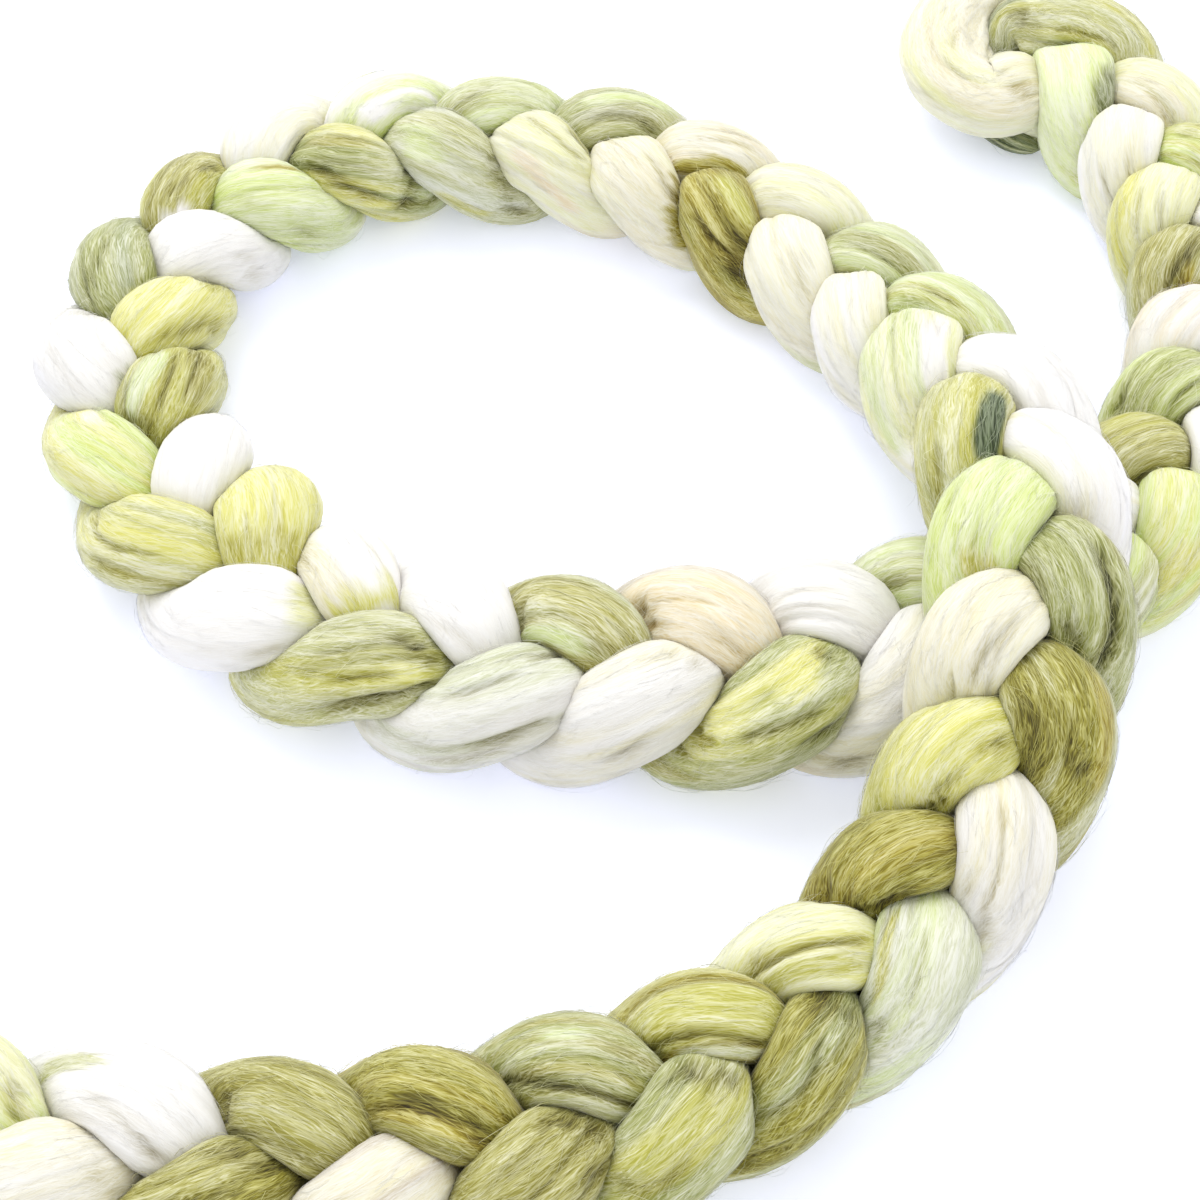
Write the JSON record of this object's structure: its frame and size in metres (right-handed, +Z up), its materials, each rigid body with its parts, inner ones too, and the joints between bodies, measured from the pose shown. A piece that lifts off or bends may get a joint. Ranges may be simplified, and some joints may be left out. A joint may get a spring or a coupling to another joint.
{
  "type": "braid of wool roving",
  "caption": "Thick soft braid of plaited combed wool top, lying in a loose loop over itself with a tucked head.",
  "frame": {"origin": "middle of the whole braid's box, at the table it lies on", "axes": "+Z up from the table, +X along the longer side of the lying loop, +Y away from where the loop's open start lies"},
  "size_m": [0.5962, 0.5374, 0.0743],
  "materials": {
    "strand_a_wool": "matt hand-dyed combed wool, mostly natural white and cream with lime and olive stretches",
    "strand_b_wool": "matt hand-dyed combed wool, cream, lime and olive in turn",
    "strand_c_wool": "matt hand-dyed combed wool, mostly olive and lime with pale stretches"
  },
  "bodies": {
    "root": {"strand_a": "strand_a_wool", "strand_b": "strand_b_wool", "strand_c": "strand_c_wool"}
  },
  "joints": []
}
